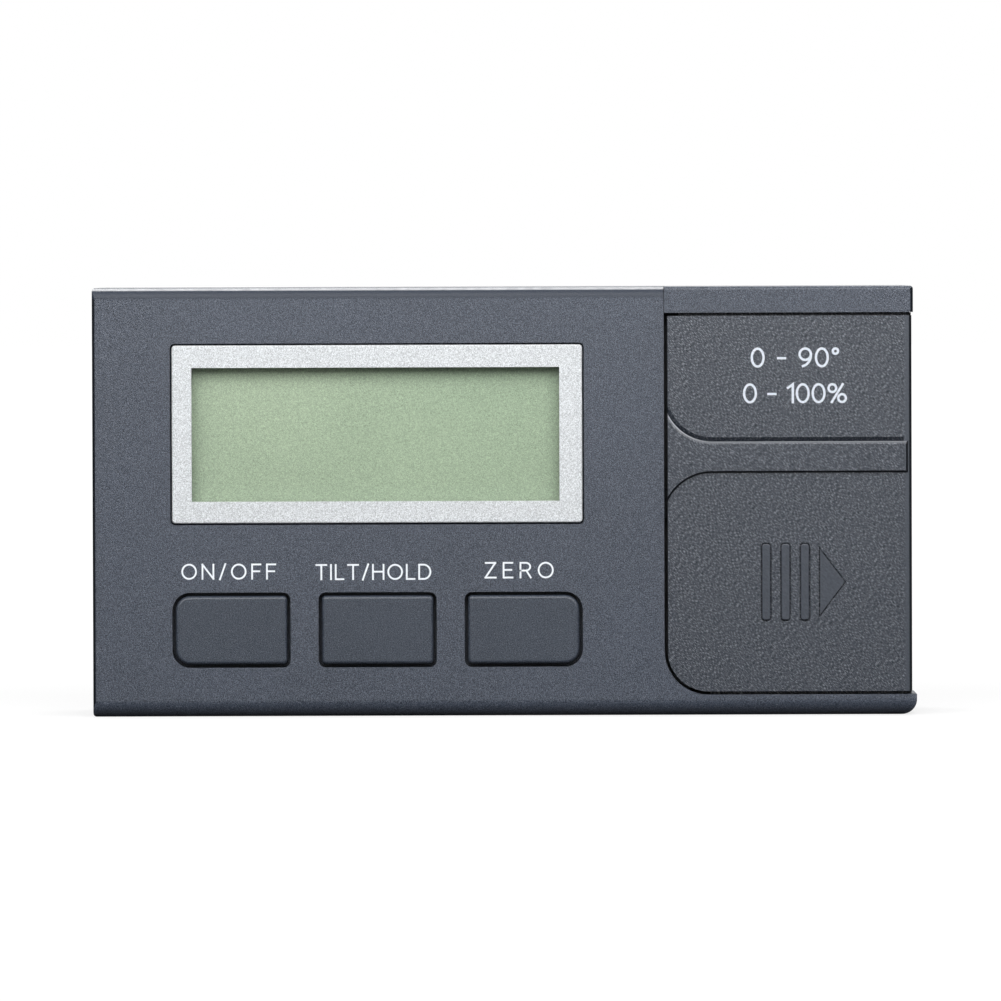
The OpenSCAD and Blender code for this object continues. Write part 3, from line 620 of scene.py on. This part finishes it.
KEY_PRINT = {"body": "case", "mat": INK, "stroke": 0.23 * MM}
COVER_PRINT = {"body": "cover", "mat": COVER_INK, "stroke": 0.31 * MM, "height": 2.6 * MM}
COVER_PRINT_X = 37.4 * MM

print_words(
    "print_on_off", "ON/OFF", **KEY_PRINT,
    centre_x=-35.5 * MM, z_low=17.66 * MM, height=2.06 * MM, width=12.2 * MM,
)
print_words(
    "print_tilt_hold", "TILT/HOLD", **KEY_PRINT,
    centre_x=-16.9 * MM, z_low=17.56 * MM, height=2.06 * MM, width=14.9 * MM,
)
print_words(
    "print_zero", "ZERO", **KEY_PRINT,
    centre_x=1.85 * MM, z_low=17.70 * MM, height=2.12 * MM, width=8.9 * MM,
)
print_words(
    "print_range_angle", "0 - 90" + DEGREE, **COVER_PRINT,
    centre_x=COVER_PRINT_X, z_low=44.7 * MM, width=11.4 * MM,
)
print_words(
    "print_range_slope", "0 - 100%", **COVER_PRINT,
    centre_x=COVER_PRINT_X, z_low=40.1 * MM, width=13.4 * MM,
)


# Black blocks that close the right ends of the cover's slots, a painted shade standing in for their dark
# insides

SHADE_BLOCK_X = (cover_hi.x - 0.65 * MM, cover_hi.x - 0.03 * MM)
SHADE_BLOCK_Y = (FACE_Y + 1.65 * MM, FACE_Y + 2.25 * MM)
BOX_FACES = [(0, 1, 3, 2), (4, 6, 7, 5), (0, 4, 5, 1), (2, 3, 7, 6), (0, 2, 6, 4), (1, 5, 7, 3)]


def shade_block(name, z0, z1):
    corners = [(x, y, z) for x in SHADE_BLOCK_X for y in SHADE_BLOCK_Y for z in (z0, z1)]
    obj = new_object(name, corners, BOX_FACES)
    obj.data.materials.append(BLACK)
    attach(obj, "cover")


# black blocks as painted shade in the slot ends
shade_block("slot_shade_top", 51.2 * MM, 51.75 * MM)
shade_block("slot_shade_base", 2.7 * MM, 3.3 * MM)


# Floor and world: white to the camera and dim to most other rays

FLOOR_REACH = 6.0
FLOOR_DIM = (0.10, 0.10, 0.10)
FLOOR_PALE = (0.86, 0.86, 0.86)
FLOOR_GLOW = 1.05
GLOW_NEAR = 0.10
GLOW_FAR = 0.30
GLOW_SHADOW = 0.68
GLOW_AHEAD = 0.86
AMBIENT = 0.055


def seen(tree):
    """1 for the rays that show the background to the camera."""
    path = add(tree, "ShaderNodeLightPath")
    return highest(tree, path.outputs["Is Camera Ray"], path.outputs["Is Transmission Ray"])


def glow_share(tree):
    """How much the floor glows: least beside and behind the part, so that its shadow shows there."""
    spot = coords(tree)
    away = add(tree, "ShaderNodeVectorMath", operation="LENGTH")
    tree.links.new(spot, away.inputs[0])
    _, y, _ = split(tree, spot)
    ahead = below(tree, y, FACE_Y, 0.01)
    by_distance = remap(tree, away.outputs["Value"], GLOW_NEAR, GLOW_FAR, GLOW_SHADOW, 1.0)
    return highest(tree, by_distance, times(tree, ahead, GLOW_AHEAD))


def floor_material():
    mat, tree, shader = new_material("floor_white")
    tree.nodes.remove(shader)
    shown = seen(tree)
    diffuse = add(tree, "ShaderNodeBsdfDiffuse")
    tree.links.new(ramp_colour(tree, shown, FLOOR_DIM, FLOOR_PALE), diffuse.inputs["Color"])
    glow = add(tree, "ShaderNodeEmission")
    glow.inputs["Strength"].default_value = FLOOR_GLOW
    mix_shaders(tree, times(tree, shown, glow_share(tree)), diffuse, glow)
    return mat


corners = [(-1, -1), (1, -1), (1, 1), (-1, 1)]
floor = new_object("floor", [(FLOOR_REACH * x, FLOOR_REACH * y, 0) for x, y in corners], [(0, 1, 2, 3)])
floor.data.materials.append(floor_material())


def make_world():
    """Mirrored rays see the white backdrop behind the object and the dim room in front of it."""
    world = bpy.data.worlds.new("studio")
    bpy.context.scene.world = world
    world.use_nodes = True
    tree = world.node_tree
    back = tree.nodes["Background"]
    back.inputs["Color"].default_value = (1, 1, 1, 1)
    path = add(tree, "ShaderNodeLightPath")
    x, y, _ = split(tree, add(tree, "ShaderNodeTexCoord").outputs["Generated"])
    central = below(tree, math_node(tree, "ABSOLUTE", x, 0), 0.35, 0.3)
    behind = times(tree, path.outputs["Is Glossy Ray"], step(tree, y, 0.15, 0.3), central)
    strength = between(tree, highest(tree, seen(tree), behind), AMBIENT, 1.0)
    tree.links.new(strength, back.inputs["Strength"])


make_world()


# Lights

def softbox(name, at, aim, size, glow):
    """A soft rectangular light whose surface has the given brightness."""
    data = bpy.data.lights.new(name, "AREA")
    data.shape = "RECTANGLE"
    data.size, data.size_y = size
    data.energy = glow * math.pi * size[0] * size[1]
    obj = bpy.data.objects.new(name, data)
    obj.location = at
    obj.rotation_euler = (Vector(aim) - Vector(at)).to_track_quat("-Z", "Y").to_euler()
    bpy.context.collection.objects.link(obj)


AIM_Z = 0.03
softbox("soft_key", (0, -0.235, 0.185), (0, FACE_Y, AIM_Z), size=(0.62, 0.20), glow=4.0)
softbox("soft_front", (0, -1.1, 0.22), (0, FACE_Y, AIM_Z), size=(1.4, 0.36), glow=0.35)
# above and behind, so that it lights the edges and ledges, the top and the back but not the face
softbox("soft_top", (0, 0.34, 0.46), (0, 0, AIM_Z), size=(0.9, 0.5), glow=2.5)


# Camera a little above the top edge, tilted down to the middle of the face; PX marks photo pixels

PHOTO_PX = 1001
CASE_PX = 824.4
NUDGE_X_PX = -4.0
NUDGE_Z_PX = 1.0
DISTANCE = 1.40
RISE = 0.031
ROLL = math.radians(0.19)
SENSOR = 36

span = PHOTO_PX / CASE_PX * (shell_hi.x - shell_lo.x)
pixel = span / PHOTO_PX
camera_data = bpy.data.cameras.new("camera")
camera_data.sensor_width = SENSOR
camera_data.sensor_fit = "HORIZONTAL"
camera_data.lens = SENSOR * DISTANCE / span
camera_data.clip_start = 0.01
camera = bpy.data.objects.new("camera", camera_data)
camera.location = (
    NUDGE_X_PX * pixel + RISE * math.sin(ROLL),
    FACE_Y - DISTANCE,
    CENTRE_Z + NUDGE_Z_PX * pixel + RISE,
)
camera.rotation_euler = (math.radians(90) - math.atan2(RISE, DISTANCE), ROLL, 0)
bpy.context.collection.objects.link(camera)
bpy.context.scene.camera = camera

bpy.context.scene.view_settings.view_transform = "Standard"
